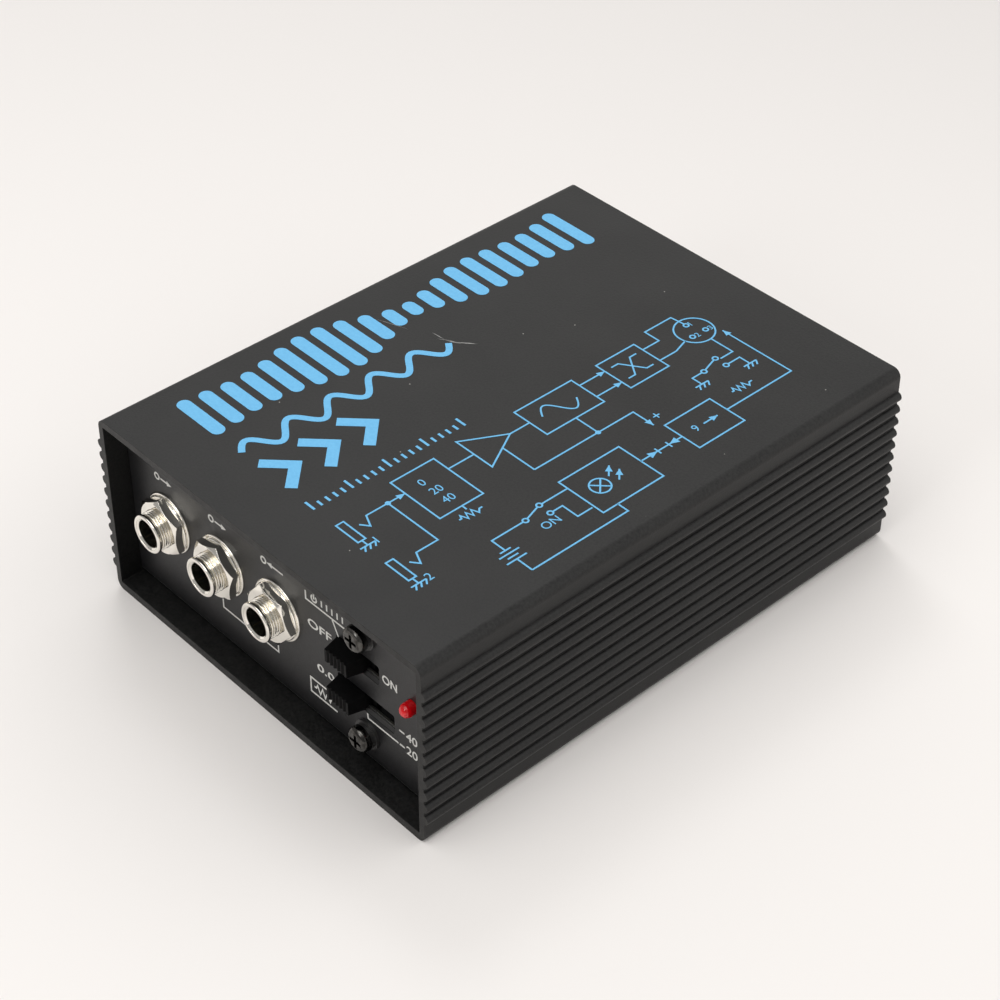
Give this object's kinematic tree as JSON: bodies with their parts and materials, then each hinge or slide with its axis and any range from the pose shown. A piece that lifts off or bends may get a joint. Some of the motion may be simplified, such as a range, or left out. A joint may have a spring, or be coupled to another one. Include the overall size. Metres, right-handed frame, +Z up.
{
  "type": "direct injection box",
  "caption": "Battery-powered direct injection box: ribbed sleeve casing, recessed end panels with quarter-inch jacks, slide switches, lamp and XLR output, hinged battery door.",
  "frame": {"origin": "centre of the flat bottom, under the middle of the box", "axes": "+Z up, the quarter-inch jacks face -Y, the XLR output faces +Y, +X to the right seen from the jacks"},
  "size_m": [0.104, 0.1368, 0.0464],
  "materials": {
    "black_anodised": "satin black anodised",
    "black_panel": "satin black paint",
    "plated_steel": "zinc plated",
    "black_screws": "black oxide",
    "nickel": "bright nickel plate",
    "spring_metal": "bright",
    "black_plastic": "moulded, satin",
    "knob_plastic": "moulded, satin",
    "red_lens": "clear tinted",
    "tinned_wire": "tinned",
    "green_board": "solder mask over glass fibre",
    "capacitor_sleeve": "shrink sleeve",
    "chip_black": "moulded",
    "film_box": "dipped",
    "resistor_body": "lacquered",
    "cable_grey": "ribbed insulation",
    "xlr_black": "black chrome",
    "gold_pins": "gold plated",
    "battery_wrap": "printed steel jacket",
    "foam": "closed-cell foam",
    "lead_red_black": "vinyl insulation"
  },
  "bodies": {
    "base": {"battery": "battery_wrap", "battery_case": "black_plastic", "battery_leads": "lead_red_black", "battery_pad": "foam", "battery_snap": "black_plastic", "board_screws": "plated_steel", "board_spacers": "plated_steel", "case_screws": "plated_steel", "casing": "black_anodised", "casing_screws": "black_screws", "chassis_plate": "plated_steel", "door_pin": "plated_steel", "electrolytic_capacitors": "capacitor_sleeve", "film_capacitors": "film_box", "front_panel": "black_panel", "front_switch_board": "green_board", "ground_switch_base": "black_plastic", "ground_switch_frame": "plated_steel", "input_jack_bushing": "nickel", "input_jack_housing": "black_plastic", "jack_lock_washers": "nickel", "jack_nuts": "nickel", "jack_sleeve_springs": "spring_metal", "jack_tip_springs": "spring_metal", "jack_washers": "nickel", "lamp_leads": "tinned_wire", "link_jack_bushing": "nickel", "link_jack_housing": "black_plastic", "lock_washers": "black_screws", "main_board": "green_board", "op_amp_chips": "chip_black", "output_jack_bushing": "nickel", "output_jack_housing": "black_plastic", "pad_switch_base": "black_plastic", "pad_switch_frame": "plated_steel", "panel_screws": "nickel", "phase_switch_base": "black_plastic", "phase_switch_frame": "plated_steel", "power_lamp": "red_lens", "power_switch_base": "black_plastic", "power_switch_frame": "plated_steel", "pressed_nuts": "plated_steel", "rear_panel": "black_panel", "rear_switch_board": "green_board", "resistors": "resistor_body", "ribbon_cables": "cable_grey", "switch_board_screws": "plated_steel", "switch_board_standoffs": "plated_steel", "switch_terminals": "tinned_wire", "transistors": "chip_black", "xlr_insert": "black_plastic", "xlr_nuts": "plated_steel", "xlr_pins": "gold_pins", "xlr_screws": "black_screws", "xlr_shell": "xlr_black"},
    "power_knob": {"power_knob": "knob_plastic"},
    "pad_knob": {"pad_knob": "knob_plastic"},
    "phase_knob": {"phase_knob": "knob_plastic"},
    "ground_knob": {"ground_knob": "knob_plastic"},
    "battery_door": {"battery_door": "black_plastic"}
  },
  "joints": [
    {"name": "power_switch_slide", "type": "slide", "parent": "base", "child": "power_knob", "axis": [1, 0, 0], "range_m": [0, 0.0042]},
    {"name": "pad_switch_slide", "type": "slide", "parent": "base", "child": "pad_knob", "axis": [1, 0, 0], "range_m": [0, 0.0084]},
    {"name": "phase_switch_slide", "type": "slide", "parent": "base", "child": "phase_knob", "axis": [-1, 0, 0], "range_m": [0, 0.0042]},
    {"name": "ground_switch_slide", "type": "slide", "parent": "base", "child": "ground_knob", "axis": [-1, 0, 0], "range_m": [0, 0.0042]},
    {"name": "battery_door_hinge", "type": "hinge", "parent": "base", "child": "battery_door", "pos_m": [0.013, 0.0277, 0.00185], "axis": [1, 0, 0], "range_deg": [0, 95]}
  ]
}
